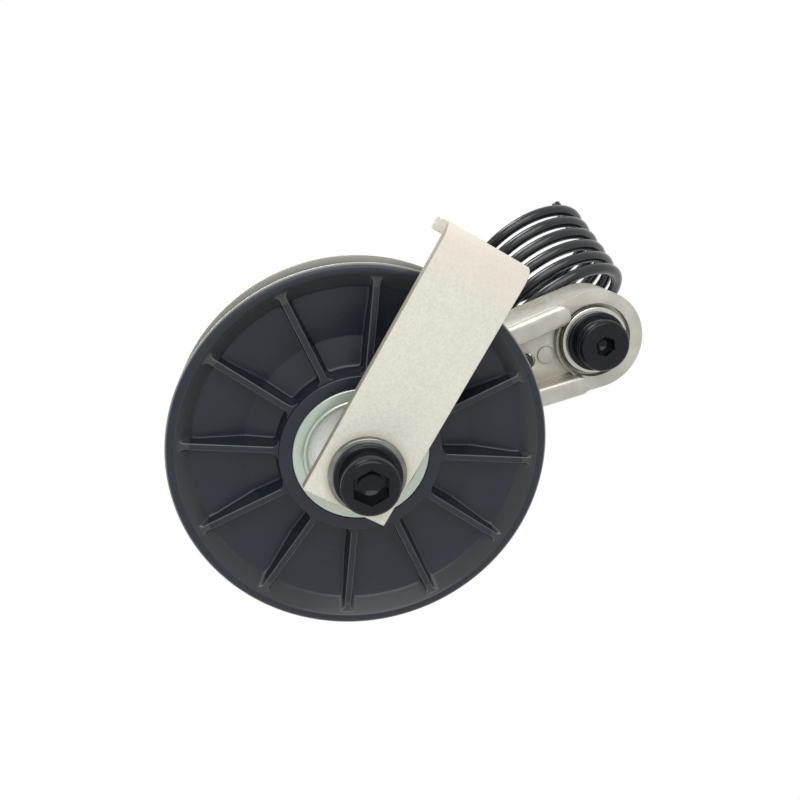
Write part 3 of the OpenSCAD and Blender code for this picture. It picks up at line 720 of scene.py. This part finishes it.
# Hub covers: pressed rings, zinc plated with a pale green tint, that close the hub and hold the bearing.
# Each is spun from its section, with a rolled lip round its hole.
cover_in, cover_out, cover_neck = 17.2, 22.25, 18.16
cover_t, cover_len = 1.5, 4.3
plated, tree, shader = new_finish("green_zinc", (0.465, 0.525, 0.45), metallic=0.4, roughness=0.3)
tint(tree, shader, noise(tree, 60, 3), (0.43, 0.5, 0.43), (0.5, 0.545, 0.465))
gloss(tree, shader, noise(tree, 500, 3), 0.17, 0.28)
cover_section = [
    (cover_in, 0.9, 0.4), (17.35, 0.1, 0.3), (18.1, 0, 0.3), (18.4, 0.3, 0.15), (18.7, 0.3, 0.15),
    (19.0, 0.1, 0.2), (21.9, 0.1, 0.3), (cover_out, 0.5, 0.3), (cover_out, cover_t, 0.15),
    (cover_neck, cover_t, 0.1), (cover_neck, cover_len, 0.2), (cover_in, cover_len, 0.2),
]
for side, section in (("front", cover_section), ("rear", flipped(cover_section, cover_len))):
    name = "hub_" + side + "_cover"
    cover = turned(side + "_cover_pressed", softened(section), pulley_axis, front_of(name))
    fitted(cover, name, "pulley", plated)

# Spacers: turned steel tubes, plated, that clamp the bearing's inner ring between the keeper and the arm.
# They are spun from their section with both ends chamfered.
spacer_r = 9.0
for name, length in (("front_spacer", 15.7), ("rear_spacer", 6.1)):
    section = [(bore_r, 0, 0.2), (spacer_r, 0, 0.5), (spacer_r, length, 0.5), (bore_r, length, 0.2)]
    spacer = turned(name + "_turned", softened(section), pulley_axis, front_of(name))
    fitted(spacer, name, "arm", plated)

# Belt keeper: a sheared steel strip, bent back over the rim and plated off-white.
# It is a copy of the bent strip with the sheared edges broken.
keeper_turn = math.radians(60.5)
keeper_half_w, keeper_shift = 14.2 * mm, 0.9 * mm
strip_back = front_of("belt_keeper") + 4 * mm
washer_shade_from = 12.6 * mm
bend_highlight_from, bend_highlight_to = 62 * mm, 68 * mm
pale_zinc, tree, shader = new_finish("pale_zinc", (0.63, 0.615, 0.54), roughness=0.65, specular=0.2)
grain = noise(tree, 1400, 5)
tint(tree, shader, grain, (0.59, 0.575, 0.5), (0.675, 0.655, 0.58))
gloss(tree, shader, grain, 0.6, 0.72)
relief(tree, shader, noise(tree, 2600, 3), 0.006 * mm)
from_bolt, along = place_round(tree, pulley_axis)
# Painted shade: a soft darker ring round the washer, for its shadow and reflection on the keeper.
washer_shade_ring = rising(tree, from_bolt, washer_shade_from + 1.8 * mm, washer_shade_from, 0.5)
overlay(tree, shader, washer_shade_ring, (0.5, 0.47, 0.36))
# Painted highlight: a warm lighter zone towards the top of the strip near its bend.
overlay(tree, shader, rising(tree, from_bolt, bend_highlight_from, bend_highlight_to, 0.5), (0.7, 0.63, 0.55))
# Painted shade: the sheared side edges darker, fully along the strip and at 0.65 strength on the bent lip.
place = node(tree, "TexCoord")
lay = node(tree, "Mapping", {"Location": (-pulley_x, 0, -pulley_z)})
across = node(tree, "VectorMath", operation="DOT_PRODUCT")
across.inputs[1].default_value = (-math.sin(keeper_turn), 0, math.cos(keeper_turn))
tree.links.new(place.outputs["Object"], lay.inputs["Vector"])
tree.links.new(lay.outputs["Vector"], across.inputs[0])
from_line = off_middle(tree, across.outputs["Value"], keeper_shift)
edge_shade = rising(tree, from_line, keeper_half_w - 0.25 * mm, keeper_half_w - 0.05 * mm, 0.8)
on_strip = rising(tree, along, strip_back + 1.5 * mm, strip_back - 0.5 * mm)
lip_shade_share = joined(tree, "MAXIMUM", on_strip, 0.65)
overlay(tree, shader, both(tree, edge_shade, lip_shade_share), (0.2, 0.19, 0.13))
keeper = eased("belt_keeper", 0.4)
fitted(keeper, "belt_keeper", "arm", pale_zinc)

# Pulley fasteners: the long socket-head bolt on the pulley axis with its washers, and a plated nut behind
# the arm. They are made like the pivot fasteners.
# The nut is a hexagon turned to its chamfers and drilled.
nut_af, nut_h = 18.0, 10.0
nut_face_r, nut_corner_r, nut_chamfer = 8.8, 10.9, 1.2
nut_bore_r, nut_mouth_r, nut_mouth = 6.02, 7.3, 0.8
dark_zinc, tree, shader = new_finish("dark_zinc", (0.2, 0.21, 0.2), metallic=0.8, roughness=0.28)
tint(tree, shader, noise(tree, 160, 4), (0.14, 0.15, 0.145), (0.24, 0.25, 0.235))
gloss(tree, shader, noise(tree, 700, 4), 0.1, 0.2)
fitted(flat_washer("pulley_washer", pulley_axis), "pulley_washer", "arm", dark_zinc)
pulley_lock = lock_washer("pulley_lock_washer", pulley_axis)
fitted(pulley_lock, "pulley_lock_washer", "arm", black_oxide)
pulley_bolt = socket_bolt(
    "pulley_bolt", pulley_axis, length=80, key=10, turn=math.radians(30), thread_from=60)
fitted(pulley_bolt, "pulley_bolt", "arm", black_oxide)
fitted(flat_washer("nut_washer", pulley_axis), "nut_washer", "arm", zinc)
nut_front = front_of("pulley_nut")
bpy.ops.object.select_all(action="DESELECT")
bpy.ops.mesh.primitive_cylinder_add(
    vertices=6, radius=nut_af / math.sqrt(3) * mm, depth=nut_h * mm, rotation=(math.pi / 2, 0, 0),
    location=(pulley_x, nut_front + nut_h / 2 * mm, pulley_z))
nut = bpy.context.object
nut.name = "nut_turned"
bpy.ops.object.transform_apply(location=True, rotation=True, scale=True)
blank = turned("nut_blank", softened([
    (0, 0, 0), (nut_face_r, 0, 0.3), (nut_corner_r, nut_chamfer, 0),
    (nut_corner_r, nut_h - nut_chamfer, 0), (nut_face_r, nut_h, 0.3), (0, nut_h, 0),
], closed=False), pulley_axis, nut_front, closed=False)
applied(nut, "BOOLEAN", operation="INTERSECT", solver="EXACT", object=blank)
bpy.data.objects.remove(blank, do_unlink=True)
hole = turned("nut_hole", [
    (0, -0.5), (nut_mouth_r, -0.5), (nut_bore_r, nut_mouth), (nut_bore_r, nut_h - nut_mouth),
    (nut_mouth_r, nut_h + 0.5), (0, nut_h + 0.5),
], pulley_axis, nut_front, closed=False, steps=96)
cut_out(nut, hole)
fitted(nut, "pulley_nut", "arm", zinc)

# Studio: a white floor well below the held part, a white surround and three soft lamps.
# Floor and surround are plain white to the camera, and a softer white as light.
floor_size, floor_drop = 6, 300 * mm
surround_light = 0.45
bpy.ops.object.select_all(action="DESELECT")
bpy.ops.mesh.primitive_plane_add(size=floor_size, location=(0, 0, -floor_drop))
floor = bpy.context.object
floor.name = "floor"
pale, tree, shader = new_finish("pale_floor", (0.9, 0.9, 0.9), roughness=0.9)


def seen_straight(tree):
    """1 where a ray comes from the camera, straight, off a glossy piece or through a clear one."""
    rays = node(tree, "LightPath").outputs
    mirrored = joined(tree, "MAXIMUM", rays["Is Glossy Ray"], rays["Is Transmission Ray"])
    return joined(tree, "MAXIMUM", rays["Is Camera Ray"], mirrored)


glow = node(tree, "Emission", {"Color": (1, 1, 1, 1), "Strength": 1.0})
blend = node(tree, "MixShader")
tree.links.new(seen_straight(tree), blend.inputs["Fac"])
tree.links.new(shader.outputs["BSDF"], blend.inputs[1])
tree.links.new(glow.outputs["Emission"], blend.inputs[2])
tree.links.new(blend.outputs["Shader"], tree.nodes["Material Output"].inputs["Surface"])
floor.data.materials.append(pale)

scene = bpy.context.scene
scene.view_settings.view_transform = "Standard"
world = bpy.data.worlds.new("white_surround")
world.use_nodes = True
scene.world = world
tree = world.node_tree
level = node(tree, "MapRange", {"To Min": surround_light, "To Max": 1.0})
tree.links.new(seen_straight(tree), level.inputs["Value"])
tree.links.new(level.outputs["Result"], tree.nodes["Background"].inputs["Strength"])
tree.nodes["Background"].inputs["Color"].default_value = (1, 1, 1, 1)

aim = (cad_low + cad_high) / 2


def softbox(name, place, size, power, colour=(1, 1, 1)):
    """A square area lamp that faces the middle of the object and stays out of the picture."""
    lamp = bpy.data.lights.new(name, "AREA")
    lamp.size = size
    lamp.energy = power
    lamp.color = colour
    stand = bpy.data.objects.new(name, lamp)
    bpy.context.collection.objects.link(stand)
    stand.location = place
    stand.rotation_euler = (aim - Vector(place)).to_track_quat("-Z", "Y").to_euler()
    stand.visible_camera = False


softbox("front_softbox", (-0.1, -0.75, 0.6), 0.9, 7.5)
softbox("rim_softbox", (-0.35, 0.2, 0.7), 0.4, 4.5)
softbox("back_softbox", (-0.2, 0.9, 0.03), 0.6, 4.0, (1.0, 0.95, 0.85))

# Camera: the photograph's own viewpoint, a little above the pulley and to its left.
# Its field is as wide as the distance is long, as a 36 mm lens gives on a 36 mm sensor.
camera_dip = math.radians(17.25)
camera_turn = math.radians(8.54)
camera_data = bpy.data.cameras.new("camera")
camera_data.lens = 36
camera_data.sensor_width = 36
camera_data.clip_start = 0.01
camera = bpy.data.objects.new("camera", camera_data)
bpy.context.collection.objects.link(camera)
camera.location = (-110.05 * mm, -301.46 * mm, 64.27 * mm)
camera.rotation_euler = (math.pi / 2 - camera_dip, 0, -camera_turn)
scene.camera = camera
